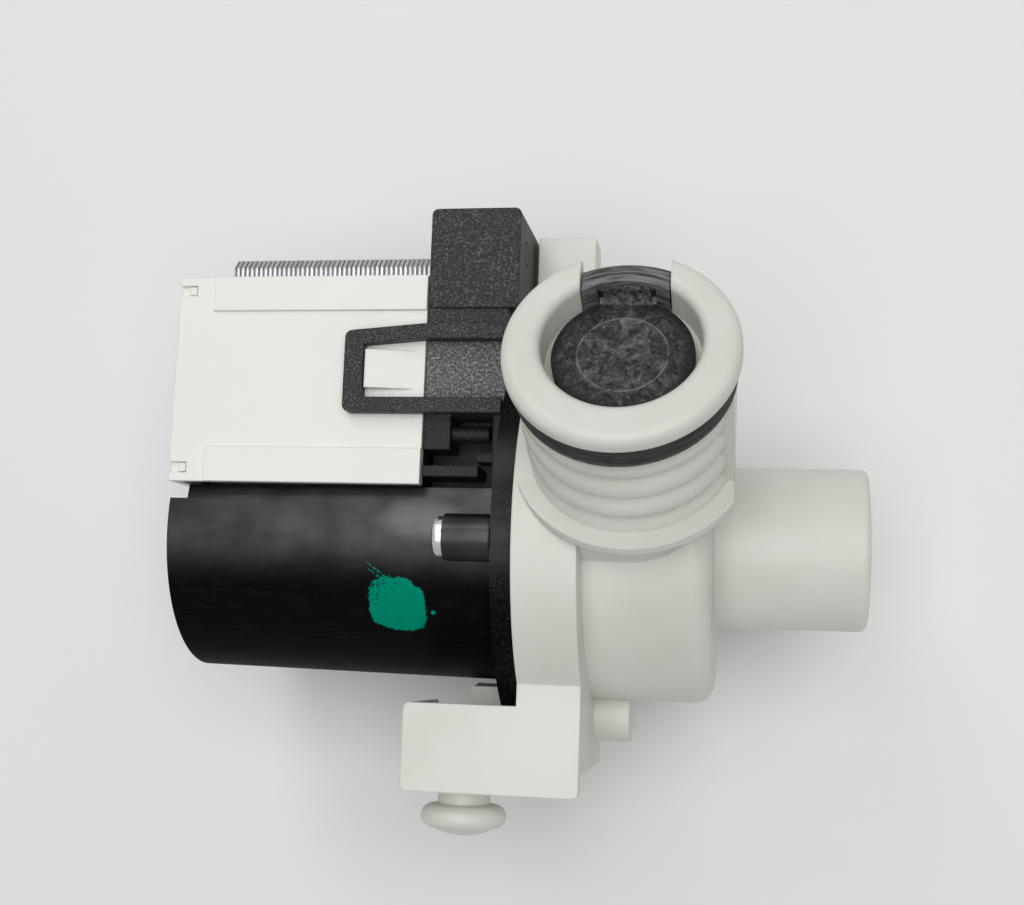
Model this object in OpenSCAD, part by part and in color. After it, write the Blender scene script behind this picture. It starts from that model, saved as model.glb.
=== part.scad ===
// Washer drain pump: white casing with a radial outlet and check valve,
// black motor housing, coil cover, lamination stack and a magnet rotor.
// The motor axis is +X, towards the inlet. The origin is at the root of the inlet spigot.

/* [Inlet spigot] */
// Outside diameter of the inlet spigot
inlet_od = 31; // [28:0.5:34]
// Wall of the inlet spigot
inlet_wall = 2.8; // [2:0.1:4]
// Length of the inlet spigot in front of the chamber
inlet_l = 28.4; // [20:0.1:40]
// Rounding of the spigot's mouth
inlet_round = 1.4; // [0.3:0.1:1.4]

/* [Pump chamber] */
// Outside diameter of the chamber
chamber_od = 60; // [59:0.5:62]
// Wall round the chamber
chamber_wall = 3; // [2.4:0.1:3.4]
// Length of the chamber in front of the flange
chamber_l = 22.7; // [22:0.1:26]
// Wall at the front of the chamber
front_wall = 3; // [2:0.1:4]
// Rounding of the chamber's front edge
front_round = 3.8; // [1:0.1:4]

/* [Flanges and screw] */
// Diameter of both flanges
flange_od = 73; // [72:0.5:75]
// Depth of the casing's flange
casing_flange_l = 11.6; // [10:0.1:14]
// Thickness of the motor flange
motor_flange_t = 3.7; // [3.4:0.1:5]
// Circle through the flange screw and the pillar
screw_pcd = 66; // [65:0.5:67]
// Angle of the flange screw from the +Y side
screw_turn = 93; // [88:1:96]
// Shank diameter of the screw
screw_d = 3.5; // [3:0.1:4]
// Head diameter of the screw
screw_head_d = 7.4; // [6.4:0.1:8]
// Head height of the screw
screw_head_h = 2; // [1.6:0.1:3]
// Length of the screw under its head
screw_l = 20; // [16:0.5:21]
// Length of a slot of the screw's cross recess
drive_l = 4.4; // [3:0.1:5]
// Width of a slot of the screw's cross recess
drive_w = 1; // [0.8:0.1:1.4]
// Depth of the screw's cross recess
drive_depth = 1.2; // [0.8:0.1:1.6]
// Diameter of the screw boss behind the motor flange
boss_d = 8.4; // [7:0.1:8.8]
// Length of the screw boss behind the motor flange
boss_l = 8.6; // [6:0.1:9]
// Diameter of the pillar in front of the casing's flange
pillar_d = 10; // [8:0.1:10.6]
// Length of the pillar in front of the casing's flange
pillar_l = 6.8; // [4:0.1:9]
// Width of a claw that holds the motor flange, in degrees
claw_angle = 18; // [12:1:20]
// Length of a claw behind the motor flange
claw_l = 9; // [4:0.1:10]
// Thickness of a claw outside the motor flange
claw_t = 3.8; // [2:0.1:4]
// Reach of a claw inwards over the motor flange
claw_reach = 8; // [4:0.1:8.4]
// Height of the chamber's rubber ring across its groove
seal_w = 2.4; // [2:0.1:2.6]
// Depth of the groove of the chamber's rubber ring
seal_depth = 2; // [1.6:0.1:2.4]

/* [Outlet port] */
// Lean of the outlet port from +Z towards +Y, in degrees
port_tilt = 25.8; // [24.6:0.3:27.9]
// Distance of the port axis behind the chamber's front face
port_back = 13.9; // [13.2:0.1:16]
// Height of the rim above the motor axis
port_reach = 64.7; // [63:0.1:70]
// Outside diameter of the rim
rim_od = 39; // [38:0.5:42]
// Depth of the rim above the seal groove
rim_l = 3; // [2.6:0.1:4]
// Rounding of the rim's outer edge
rim_round = 1.9; // [1:0.1:2.4]
// Diameter of the mouth inside the rim
mouth_d = 26.2; // [25.8:0.1:27]
// Offset of the mouth and its valve from the port axis, towards the notch
mouth_shift = 1; // [0:0.1:1.2]
// Rounding of the mouth's edge
mouth_round = 1.8; // [1:0.1:3]
// Height of the seal groove
groove_l = 5.4; // [5:0.1:6]
// Diameter of the floor of the seal groove
groove_d = 32; // [31:0.1:33]
// Height of a rib on the port's neck
rib_pitch = 6; // [5:0.1:6.2]
// Number of ribs
rib_count = 4; // [2:1:4]
// Diameter over the ribs
rib_od = 36.6; // [35:0.1:38]
// Rounding of a rib
rib_round = 3.3; // [3.2:0.1:4]
// Diameter of the base flange
base_od = 43; // [40:0.5:44]
// Thickness of the base flange
base_t = 2; // [1.5:0.1:3]
// Height of the base flange's top above the motor axis
base_reach = 35.6; // [35:0.1:37]
// Distance of the port's flat side from the port axis
port_flat = 18; // [17:0.1:19]
// Width of the port's flat side
port_flat_w = 15; // [10:0.5:20]
// Diameter of the pedestal under the base flange
pedestal_d = 35; // [30:0.5:37]
// Diameter of the port's bore where it leaves the chamber
throat_d = 21; // [18:0.1:21]
// Diameter of the port's bore below the valve seat
port_bore = 25; // [22:0.1:26]
// Width of the notch in the rim
notch_w = 15; // [14:0.1:17]

/* [Check valve] */
// Depth of the valve seat below the rim
seat_depth = 7.2; // [6.8:0.1:7.6]
// Diameter of the opening in the valve seat
seat_d = 20.4; // [18:0.1:21]
// Thickness of the valve seat
seat_t = 2.4; // [2:0.1:3]
// Diameter of the flap
flap_d = 23.6; // [22.8:0.1:24]
// Thickness of the flap
flap_t = 1.8; // [1.4:0.1:2.2]
// Diameter of the raised disc on the flap
flap_disc_d = 15.2; // [12:0.1:18]
// Height of the raised disc on the flap
flap_disc_h = 0.4; // [0.2:0.1:0.6]
// Width of the leaf that the flap hangs on
leaf_w = 8; // [6:0.1:8.4]
// Thickness of the leaf
leaf_t = 1.4; // [1:0.1:1.6]
// Width of the slit on each side of the leaf
slit_w = 0.9; // [0.6:0.1:1.2]
// Diameter of the hinge pin at the top of the leaf
hinge_pin_d = 1.6; // [1.2:0.1:1.8]
// Length of the hinge pin
hinge_pin_l = 12.6; // [11.6:0.1:13.4]
// Distance of the hinge from the valve axis
hinge_out = 13.2; // [12.8:0.1:13.4]
// Depth of the hinge below the tab's top
hinge_drop = 2; // [1.6:0.1:2.4]
// Gap from the flap's edge to the tab
flap_room = 1; // [0.8:0.1:1.2]
// Outside diameter of the rubber ring
ring_od = 37.4; // [36:0.1:37.8]
// Depth of the tab's top below the rim
tab_drop = 1.4; // [0.8:0.1:1.6]
// Distance of the tab's outer face from the port axis
tab_out = 17; // [16.8:0.1:18.6]

/* [Foot bracket and ear] */
// Height of the bracket's top face above the motor axis
bracket_top = 24.4; // [23.6:0.1:25]
// Height of the bracket's side walls
bracket_h = 20; // [16:0.5:24]
// Length of the bracket along the motor axis
bracket_l = 32.4; // [28:0.1:38]
// Distance of the bracket's outer face from the motor axis
bracket_out = 47; // [45:0.5:52]
// Distance of the bracket's front block from the motor axis
front_out = 42.7; // [40:0.1:44]
// Height of the bracket's front block
front_h = 34; // [24:0.5:38]
// Distance of the wing's inner edge from the motor axis
wing_in = 31.2; // [31:0.1:33]
// Wall of the bracket
bracket_wall = 2.2; // [1.8:0.1:3]
// Rounding of the bracket's corners
bracket_round = 1.2; // [0.6:0.1:2]
// Distance of the foot from the wing's rear end
foot_in = 9.6; // [9:0.1:13]
// Depth of the foot's axis below the bracket's top face
foot_drop = 12; // [10:0.1:13]
// Diameter of the foot's neck
foot_neck_d = 9.8; // [8:0.1:11]
// Length of the foot's neck
foot_neck_l = 2.9; // [2:0.1:4]
// Diameter of the foot's head
foot_head_d = 16; // [14:0.1:18]
// Thickness of the foot's rounded edge
foot_edge = 4.2; // [3:0.1:5]
// Height of the dome on the foot
foot_dome = 1.5; // [0.8:0.1:2.4]
// Diameter of the foot's stem in the bracket
foot_stem_d = 6; // [5:0.1:7]
// Reach of the upper ear from the motor axis
ear_reach = 59.5; // [56:0.5:61]
// Height of the ear's top face above the motor axis
ear_top = 10; // [6:0.5:12]
// Height of the ear
ear_h = 8; // [6:0.5:20]
// Reach of the ear behind the joint
ear_back = 0.9; // [0:0.1:0.9]

/* [Motor housing] */
// Diameter of the shell at the motor flange
shell_od = 54; // [54:0.1:56]
// Loss of diameter towards the rear
shell_draft = 2; // [0:0.1:2]
// Length of the shell behind the motor flange
shell_l = 64; // [62:0.5:68]
// Wall of the shell
shell_wall = 2; // [1.8:0.1:2.2]
// Wall at the rear end
end_wall = 2; // [1.6:0.1:2.4]
// Height of the shell's open side above the motor axis
shell_open = 5.2; // [3:0.1:6]
// Height of the lip inside the shell's open side
lip_rise = 2.8; // [1:0.1:3]
// Setback of the lip from the rear end
lip_setback = 3; // [2:0.1:5]
// Inside diameter of the rotor well
well_d = 30.6; // [30:0.1:31]
// Wall of the rotor well
well_wall = 1.2; // [1:0.1:1.4]
// Diameter of the seat for the bearing carrier's collar
collar_d = 40; // [38:0.1:42]
// Depth of the seat for the bearing carrier's collar
collar_l = 3.4; // [2.4:0.1:3.6]

/* [Stator] */
// Gap from the stack to the front edge of the cover
core_gap = 1.2; // [0.8:0.1:4]
// Gap from the rear of the motor to the stack
core_setback = 6.6; // [6.4:0.1:9]
// Distance of the yoke's outer face from the motor axis
core_reach = 54; // [53:0.1:56]
// Width of the yoke
yoke_w = 12.6; // [9:0.1:13]
// Distance of a leg's inner face from the middle plane
leg_in = 8; // [7.4:0.1:8.4]
// Thickness of a leg
leg_t = 9; // [8:0.1:9.6]
// Gap from the pole arcs to the shell's narrow end
pole_room = 0.5; // [0.2:0.1:1.5]
// Bore between the pole arcs
pole_bore = 34; // [33.6:0.1:34.6]
// Gap between the tips of the pole arcs
pole_gap = 8; // [5:0.1:12]
// Bevel at the corners of the yoke
yoke_bevel = 2; // [0.5:0.1:3]
// Wall of a coil former
bobbin_wall = 1; // [0.8:0.1:1.2]
// Thickness of a winding
winding_t = 3.2; // [2.6:0.1:3.2]
// Rim of a coil former beyond its winding
bobbin_lip = 0.2; // [0.1:0.1:0.3]
// Distance of the coil formers from the motor axis
coil_in = 24; // [23.8:0.1:26]

/* [Coil cover] */
// Height of the cover's top and bottom faces above the middle plane
cover_half = 27; // [27:0.1:28]
// Distance of the cover's lower edge from the motor axis
cover_low = 8.3; // [8.2:0.1:9]
// Distance of the cover's upper edge from the motor axis
cover_high = 47.6; // [47:0.1:49]
// Wall of the cover
cover_wall = 1.8; // [1.4:0.1:2]
// Width of a raised strip
strip_w = 6.6; // [4:0.1:8]
// Height of a raised strip
strip_h = 0.6; // [0.3:0.1:1]
// Start of the strips from the rear end
strip_start = 7; // [6:0.1:10]
// Width of a corner slot of the cover
window_w = 2; // [1.6:0.1:3]
// Length of a corner slot of the cover
window_l = 3.4; // [2.6:0.1:4]
// Distance of a corner slot from the cover's edge
window_in = 1.6; // [1.2:0.1:2.4]
// Length of the snap pin in a corner slot
window_pin = 1.4; // [1:0.1:1.8]

/* [Terminal frame] */
// Gap from the casing's joint to the connector block
block_gap = 1.7; // [1.2:0.1:2.4]
// Length of the connector block along the motor axis
block_l = 17; // [15:0.1:18]
// Distance of the block's inner face from the motor axis
block_in = 41.5; // [41:0.1:43]
// Distance of the block's outer face from the motor axis
block_out = 60.5; // [58:0.1:64]
// Height of the block
block_h = 22; // [18:0.1:24]
// Wall of the block
block_wall = 2.2; // [1.8:0.1:3]
// Depth of the socket
socket_depth = 13; // [10:0.1:15]
// Rounding of the block's edges
block_round = 1.2; // [0.5:0.1:2]
// Diameter of the round mould mark on the block's side
mark_d = 4.6; // [3:0.1:6]
// Width and depth of the line of the mould mark
mark_line = 0.3; // [0.2:0.05:0.4]
// Distance of the mould mark from the block's outer and top faces
mark_in = 7; // [5:0.1:9]
// Wall of the frame
frame_wall = 2; // [1.6:0.1:2.2]
// Depth of the recess beside the latch
recess_depth = 9; // [7:0.1:10]
// Length of the tab in the recess
recess_tab_l = 5; // [4:0.1:7]
// Width of the tab in the recess
recess_tab_w = 6.4; // [4:0.1:8]
// Length of the rib at the recess's edge
recess_rib_l = 10.4; // [8:0.1:12]
// Distance of that rib from the frame's edge
recess_rib_in = 1.4; // [0:0.1:2]
// Diameter of the pin in the recess
recess_pin_d = 3; // [2:0.1:3.4]
// Length of the pin in front of its tab
recess_pin_l = 7; // [4:0.1:8]
// Length of the lug in the recess
recess_lug_l = 6; // [3:0.1:8]
// Width of the lug in the recess
recess_lug_w = 1.8; // [1:0.1:2.4]
// Width of a latch loop
latch_w = 16.6; // [14:0.1:18]
// Distance of a latch loop's middle from the motor axis
latch_mid = 29.6; // [28:0.1:31]
// Reach of a latch loop over the cover
latch_reach = 15; // [13:0.1:18]
// Width of a latch loop's arms
latch_arm = 2.8; // [2:0.1:3.5]
// Width of a latch loop's end bar
latch_bar = 3.6; // [2.5:0.1:4.5]
// Loss of a latch loop's width towards its end bar
latch_taper = 1.2; // [0:0.1:2]
// Thickness of a latch loop
latch_t = 2.4; // [1.6:0.1:3]
// Width of a catch on the cover
catch_w = 7.2; // [5:0.1:9]
// Length of a catch on the cover
catch_l = 9; // [5:0.1:10]
// Height of a catch on the cover
catch_h = 2; // [1:0.1:2.4]
// Width of a blade terminal
blade_w = 6.3; // [4.8:0.1:6.3]
// Thickness of a blade terminal
blade_t = 0.8; // [0.6:0.1:1]
// Spacing of the blade terminals
blade_pitch = 9; // [8:0.1:10]
// Length of a blade terminal in the socket
blade_l = 9; // [7:0.1:10]
// Length of a blade terminal in the block's floor
blade_root = 3; // [2:0.1:4]

/* [Rotor] */
// Diameter of the magnet
magnet_d = 28; // [26:0.1:28.6]
// Diameter of the rotor hub
hub_d = 12; // [10:0.1:14]
// Shaft diameter
shaft_d = 4; // [3.5:0.1:4.5]
// Radial running clearance on the shaft
run_gap = 0.05; // [0.02:0.01:0.08]
// Diameter of a bush
bush_d = 9; // [8:0.1:10]
// Length of a bush
bush_l = 6; // [5:0.1:7]
// Gap from the front bush to the shaft seal
bush_gap = 6.1; // [2:0.1:8]
// Wall of the rubber cup round the rear bush
cup_wall = 1.6; // [1.2:0.1:2]
// Floor of the rubber cup
cup_floor = 1; // [0.8:0.1:1.4]
// Thickness of a thrust washer
washer_t = 0.8; // [0.5:0.1:1]
// Diameter of a thrust washer
washer_d = 8; // [7:0.1:9]
// End play of the magnet at each end
end_play = 0.4; // [0.3:0.1:0.8]
// Diameter of the shaft seal
lip_seal_d = 14; // [12:0.1:16]
// Length of the shaft seal
lip_seal_l = 4; // [3:0.1:4.4]

/* [Impeller] */
// Diameter of the impeller
impeller_d = 48; // [40:0.5:50]
// Gap from the motor flange to the impeller
impeller_gap = 1.5; // [1:0.1:3]
// Thickness of the back plate
plate_t = 2; // [1.5:0.1:3]
// Depth of the blades in front of the back plate
vane_l = 22; // [18:0.5:24]
// Thickness of a blade
vane_t = 2; // [1.5:0.1:3]
// Number of blades
vane_count = 6; // [3:1:8]
// Slope of the blades' front edge across the blade
vane_slope = 5; // [0:0.5:8]
// Outside diameter of the impeller's hub
eye_d = 15; // [14:0.1:17]
// Wall round the free-travel chamber
eye_wall = 2; // [1.6:0.1:2.4]
// Length of the impeller's bore on the shaft
eye_bore_l = 10; // [8:0.5:11]
// Length of the drive dog
dog_l = 5; // [4:0.1:6]
// Diameter of the dog's ring on the shaft
dog_ring_d = 6.4; // [6:0.1:6.8]
// Width of the dog's lug and of the stop, in degrees
lug_angle = 38; // [30:1:60]
// Gap round the dog
dog_gap = 0.3; // [0.3:0.05:0.5]
// Thickness of the washer that holds the impeller
clip_t = 1; // [0.8:0.1:1.4]
// Thickness of the impeller's cap
cap_t = 2; // [1.5:0.1:3]

/* [Fits] */
// Gap between fixed pieces that slide together
slip = 0.2; // [0.1:0.05:0.3]
// Gap between the flap and what it closes on
valve_gap = 0.3; // [0.2:0.05:0.4]
// Gap round the flap's hinge pin
hinge_gap = 0.1; // [0.05:0.01:0.1]

/* [Hidden] */
$fn = 96;
// Overshoot of a cut past the face it opens
cut = 1;

// Places along the motor axis
ring_front = -chamber_l;
joint_x = ring_front - casing_flange_l;
flange_rear = joint_x - motor_flange_t;
rear_x = flange_rear - shell_l;
block_end = joint_x - block_gap;
block_x = block_end - block_l;
cover_end = block_x - slip;
core_x = rear_x + core_setback;
core_end = cover_end - core_gap;

// Radii of the casing and the motor
chamber_r = chamber_od / 2;
chamber_in = chamber_r - chamber_wall;
inlet_bore = inlet_od / 2 - inlet_wall;
flange_r = flange_od / 2;
well_r = well_d / 2;
well_out = well_r + well_wall;
pole_od = shell_od - shell_draft - 2 * (shell_wall + pole_room);
seal_d = chamber_od - chamber_wall;
claw_angles = [screw_turn + 90, screw_turn + 180];
coil_out = min(core_reach - yoke_w, block_in) - slip;

// Heights along the port axis
groove_top = port_reach - rim_l;
groove_low = groove_top - groove_l;
seat_h = port_reach - seat_depth;
flap_low = seat_h + valve_gap;
hinge_h = port_reach - tab_drop - hinge_drop;
rib_r = rib_od / 2 - rib_round;

// Places of the rotor's pieces
cup_d = bush_d + 2 * cup_wall;
cup_x = rear_x + end_wall;
rear_bush_x = cup_x + cup_floor;
rear_washer_x = rear_bush_x + bush_l;
magnet_x = rear_washer_x + washer_t + end_play;
lip_seal_x = joint_x - lip_seal_l - slip;
front_bush_x = lip_seal_x - bush_gap - bush_l;
front_washer_x = front_bush_x - washer_t;
magnet_end = front_washer_x - end_play;
carrier_x = front_bush_x;
collar_x = joint_x - collar_l;

// Places of the impeller's pieces
eye_x = joint_x + impeller_gap;
dog_room_x = eye_x + eye_bore_l;
dog_x = dog_room_x + dog_gap;
clip_x = dog_x + dog_l + dog_gap;
shaft_end = clip_x + clip_t;
cap_x = shaft_end + dog_gap;
dog_room_r = eye_d / 2 - eye_wall;
vane_x = eye_x + plate_t;

// Bracket and foot
bracket_x = ring_front - bracket_l;
bracket_low = bracket_top - bracket_h;
foot_x = bracket_x + foot_in;
foot_z = bracket_top - foot_drop;

white = "#dedfd8";
cover_white = "#e9ebe4";
black = "#222325";
rubber = "#2b2d2f";
steel = "#9ea2a6";
copper = "#b5703a";
ferrite = "#3c3d40";
bronze = "#a8834c";

// Lays a shape that stands on Z along the motor axis, from x onwards
module along_x(x = 0) {
    translate([x, 0, 0]) rotate([0, 90, 0]) children();
}

// Round bar along the motor axis
module bar(x, end, r) {
    along_x(x) cylinder(h = end - x, r = r);
}

// Round sleeve along the motor axis
module sleeve(x, end, r_out, r_in) {
    difference() {
        bar(x, end, r_out);
        bar(x - cut, end + cut, r_in);
    }
}

// Sector of a ring along the motor axis, centred on the angle at
module ring_sector(x, end, r_out, r_in, angle, at) {
    reach = 2 * r_out;
    intersection() {
        sleeve(x, end, r_out, r_in);
        rotate([at, 0, 0]) translate([x, 0, 0]) rotate([90, 0, 90]) linear_extrude(end - x)
            polygon([[0, 0], [reach * cos(angle / 2), -reach * sin(angle / 2)],
                [reach * cos(angle / 2), reach * sin(angle / 2)]]);
    }
}

// Box between two corners
module block(low, high) {
    translate(low) cube(high - low);
}

// Outline in the X Y plane with round corners, between two corners
module round_outline(low, high, r) {
    size = high - low;
    translate(low + [r, 0]) square([size.x - 2 * r, size.y]);
    translate(low + [0, r]) square([size.x, size.y - 2 * r]);
    for (x = [low.x + r, high.x - r], y = [low.y + r, high.y - r])
        translate([x, y]) circle(r);
}

// Half section of a disc of radius r and height h whose top edge is rounded
module round_top_section(r, h, round) {
    square([r, h - round]);
    square([r - round, h]);
    intersection() {
        translate([r - round, h - round]) circle(round);
        square([r, h]);
    }
}

// Moves a shape to the outlet port, whose axis becomes Z and whose notch is on +Y
module at_port() {
    translate([-port_back, 0, 0]) rotate([-port_tilt, 0, 0]) children();
}

// Moves a shape to the valve, beside the port axis
module at_valve() {
    at_port() translate([0, mouth_shift, 0]) children();
}

// Moves a shape to the screw circle, at an angle from +Y
module at_screw(angle = screw_turn) {
    rotate([angle, 0, 0]) translate([0, screw_pcd / 2, 0]) children();
}

// Slab that keeps the port's base between the joint and the flat side
module port_slab(front) {
    block([joint_x, -flange_od, 0], [front, flange_od, 2 * port_reach]);
}

// Ribbed neck, seal groove and rim of the port
module port_outside() {
    intersection() {
        port_slab(0);
        at_port() {
            cylinder(h = base_reach, r = pedestal_d / 2);
            block([port_back + ring_front, -pedestal_d / 2, 0], [0, pedestal_d / 2, base_reach]);
        }
    }
    intersection() {
        port_slab(port_flat - port_back);
        at_port() union() {
            translate([0, 0, base_reach - base_t]) cylinder(h = base_t, r = base_od / 2);
            translate([0, -port_flat_w / 2, base_reach])
                cube([port_flat, port_flat_w, groove_low - base_reach]);
        }
    }
    intersection() {
        port_slab(port_flat - port_back);
        at_port() rotate_extrude() for (i = [0:rib_count - 1])
            intersection() {
                translate([rib_r, groove_low - rib_pitch / 2 - i * rib_pitch]) circle(rib_round);
                translate([0, groove_low - rib_pitch * (i + 1)]) square([rib_od, rib_pitch]);
            }
    }
    at_port() rotate_extrude() {
        translate([0, base_reach - base_t]) square([groove_d / 2, groove_top - base_reach + base_t]);
        translate([0, groove_top]) round_top_section(rim_od / 2, rim_l, rim_round);
    }
}

// Bore, valve seat, mouth and rim notch of the port
module port_inside() {
    seat_low = seat_h - seat_t;
    edge_r = mouth_d / 2 + mouth_round;
    at_port() rotate_extrude()
        polygon([[0, chamber_in / 2], [throat_d / 2, chamber_in / 2], [throat_d / 2, chamber_r],
            [port_bore / 2, seat_low], [0, seat_low]]);
    at_valve() {
        translate([0, 0, seat_low - cut]) cylinder(h = seat_t + 2 * cut, r = seat_d / 2);
        translate([0, 0, seat_h]) cylinder(h = seat_depth + cut, r = mouth_d / 2);
        rotate_extrude() difference() {
            translate([0, port_reach - mouth_round]) square([edge_r, mouth_round + cut]);
            translate([edge_r, port_reach - mouth_round]) circle(mouth_round);
        }
        translate([-notch_w / 2, mouth_d / 4, seat_h]) cube([notch_w, rim_od, seat_depth + cut]);
    }
}

// Hollow wing behind the flange, which carries the foot, and the solid block in front of it
module bracket() {
    difference() {
        translate([0, 0, bracket_low]) linear_extrude(bracket_h)
            round_outline([bracket_x, -bracket_out], [joint_x + bracket_wall, -wing_in], bracket_round);
        translate([0, 0, bracket_low - cut]) linear_extrude(bracket_h - bracket_wall + cut)
            round_outline([bracket_x + bracket_wall, -bracket_out + bracket_wall],
                [joint_x, -wing_in + 2 * bracket_round], bracket_round);
    }
    translate([0, 0, bracket_top - bracket_wall]) linear_extrude(bracket_wall)
        round_outline([bracket_x, -bracket_out], [ring_front, -wing_in], bracket_round);
    block([joint_x, -front_out, bracket_top - front_h],
        [ring_front, -wing_in + 2 * bracket_wall, bracket_top]);
    translate([foot_x, 0, foot_z]) rotate([90, 0, 0]) translate([0, 0, bracket_out - foot_neck_d / 2])
        cylinder(h = foot_neck_d / 2, r = foot_neck_d / 2);
}

// Ear beside the connector block
module ear() {
    corner = [ring_front - bracket_round, ear_reach];
    round = bracket_round / 3;
    translate([0, 0, ear_top - ear_h]) linear_extrude(ear_h) {
        round_outline([joint_x, flange_r / 2], corner, round);
        round_outline([joint_x - ear_back, flange_r + slip], corner, round);
    }
}

// Hook that reaches over the motor flange and behind it
module claw(angle) {
    ring_sector(flange_rear - slip - claw_l, ring_front, flange_r + claw_t, flange_r - claw_reach,
        claw_angle, angle);
}

// Room inside the casing's flange, beside the screw and the pillar
module flange_room() {
    difference() {
        sleeve(joint_x - cut, ring_front - chamber_wall, flange_r - chamber_wall, chamber_r);
        at_screw() bar(joint_x - cut, ring_front, pillar_d / 2);
        at_screw(claw_angles[0]) bar(joint_x - cut, ring_front, pillar_d / 2);
    }
}

module volute_housing() {
    color(white) difference() {
        union() {
            along_x(ring_front) rotate_extrude() round_top_section(chamber_r, chamber_l, front_round);
            bar(joint_x, ring_front, flange_r);
            along_x(-front_wall) rotate_extrude()
                round_top_section(inlet_od / 2, inlet_l + front_wall, inlet_round);
            port_outside();
            bracket();
            ear();
            for (angle = claw_angles) claw(angle);
            at_screw(claw_angles[0]) bar(joint_x, ring_front + pillar_l, pillar_d / 2);
        }
        bar(flange_rear - slip, joint_x, flange_r + slip);
        bar(joint_x - cut, -front_wall, chamber_in);
        bar(-front_wall - cut, inlet_l + cut, inlet_bore);
        flange_room();
        port_inside();
        at_screw() bar(joint_x - cut, joint_x + screw_l - boss_l - motor_flange_t + slip, screw_d / 2);
        translate([foot_x, 0, foot_z]) rotate([90, 0, 0])
            translate([0, 0, bracket_out - foot_neck_d / 2 - cut])
                cylinder(h = foot_neck_d / 2 + 2 * cut, r = foot_stem_d / 2);
    }
}

// Ring in the port's groove, with the tab that fills the rim notch and carries the flap's leaf
module outlet_seal() {
    tab_w = notch_w - 2 * slip;
    tab_h = seat_depth - tab_drop;
    leaf_room = leaf_w + 2 * slit_w;
    pin_room = hinge_pin_d / 2 + hinge_gap;
    pin_reach = hinge_pin_l / 2 + slip;
    color(rubber) difference() {
        union() {
            at_port() rotate_extrude() translate([groove_d / 2, groove_low + slip])
                square([(ring_od - groove_d) / 2, groove_l - 2 * slip]);
            intersection() {
                at_port() translate([0, 0, seat_h]) cylinder(h = tab_h, r = tab_out);
                at_valve() translate([-tab_w / 2, 0, seat_h]) cube([tab_w, tab_out, tab_h]);
            }
        }
        at_valve() {
            translate([0, 0, seat_h - cut]) cylinder(h = seat_depth + cut, r = flap_d / 2 + flap_room);
            translate([-pin_reach, hinge_out, hinge_h]) rotate([0, 90, 0])
                cylinder(h = 2 * pin_reach, r = pin_room);
            block([-leaf_room / 2, 0, seat_h - cut], [leaf_room / 2, hinge_out + pin_room, hinge_h]);
            block([-leaf_room / 2, 0, seat_h], [leaf_room / 2, hinge_out, hinge_h + hinge_pin_d / 2]);
        }
    }
}

// Disc on a standing leaf whose pin turns in the tab
module valve_flap() {
    color(rubber) at_valve() {
        translate([0, 0, flap_low]) cylinder(h = flap_t, r = flap_d / 2);
        translate([0, 0, flap_low + flap_t]) cylinder(h = flap_disc_h, r = flap_disc_d / 2);
        block([-leaf_w / 2, flap_d / 4, flap_low], [leaf_w / 2, hinge_out + leaf_t / 2, flap_low + flap_t]);
        block([-leaf_w / 2, hinge_out - leaf_t / 2, flap_low], [leaf_w / 2, hinge_out + leaf_t / 2, hinge_h]);
        translate([-hinge_pin_l / 2, hinge_out, hinge_h]) rotate([0, 90, 0])
            cylinder(h = hinge_pin_l, r = hinge_pin_d / 2);
    }
}

// Round shell of the motor from r_rear to r_front, open above height open
module shell_form(x, r_rear, r_front, open) {
    intersection() {
        along_x(x) cylinder(h = flange_rear - x, r1 = r_rear, r2 = r_front);
        block([x - cut, -shell_od, -shell_od], [joint_x, open, shell_od]);
    }
}

module motor_housing() {
    r_rear = (shell_od - shell_draft) / 2;
    r_front = shell_od / 2;
    half = shell_wall / 2;
    cup_r = cup_d / 2 + slip;
    color(black) difference() {
        union() {
            difference() {
                union() {
                    shell_form(rear_x, r_rear, r_front, shell_open);
                    shell_form(rear_x + lip_setback, r_rear - half, r_front - half, shell_open + lip_rise);
                }
                along_x(rear_x + end_wall)
                    cylinder(h = shell_l, r1 = r_rear - shell_wall, r2 = r_front - shell_wall);
            }
            bar(rear_x, joint_x, well_out);
            bar(flange_rear, joint_x, flange_r);
            bar(collar_x - shell_wall, joint_x, collar_d / 2 + shell_wall);
            at_screw() {
                bar(flange_rear - boss_l, flange_rear, boss_d / 2);
                block([flange_rear - boss_l, -(screw_pcd - shell_od + shell_wall) / 2, -boss_d / 2],
                    [joint_x, 0, boss_d / 2]);
            }
        }
        bar(rear_x + end_wall, joint_x + cut, well_r);
        bar(collar_x, joint_x + cut, collar_d / 2);
        at_screw() bar(flange_rear - boss_l - cut, joint_x + cut, screw_d / 2 + slip);
        sleeve(joint_x - seal_depth, joint_x + cut, (seal_d + seal_w) / 2 + slip,
            (seal_d - seal_w) / 2 - slip);
    }
    color(black) sleeve(rear_x + end_wall - cut, rear_bush_x + bush_l / 2, cup_r + well_wall, cup_r);
}

// Loop of the latch, seen from above: two arms that run over the frame, and an end bar on the cover
module latch_loop() {
    low = latch_mid - latch_w / 2;
    high = low + latch_w;
    start = block_x - latch_reach;
    arm_x = start + latch_arm / 2;
    end = flange_rear - slip;
    round_outline([start, low], [start + latch_bar, high - latch_taper], latch_arm / 2);
    translate([arm_x, low]) square([end - arm_x, latch_arm]);
    polygon([[arm_x, high - latch_taper - latch_arm], [block_x, high - latch_arm], [end, high - latch_arm],
        [end, high], [block_x, high], [arm_x, high - latch_taper]]);
}

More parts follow.
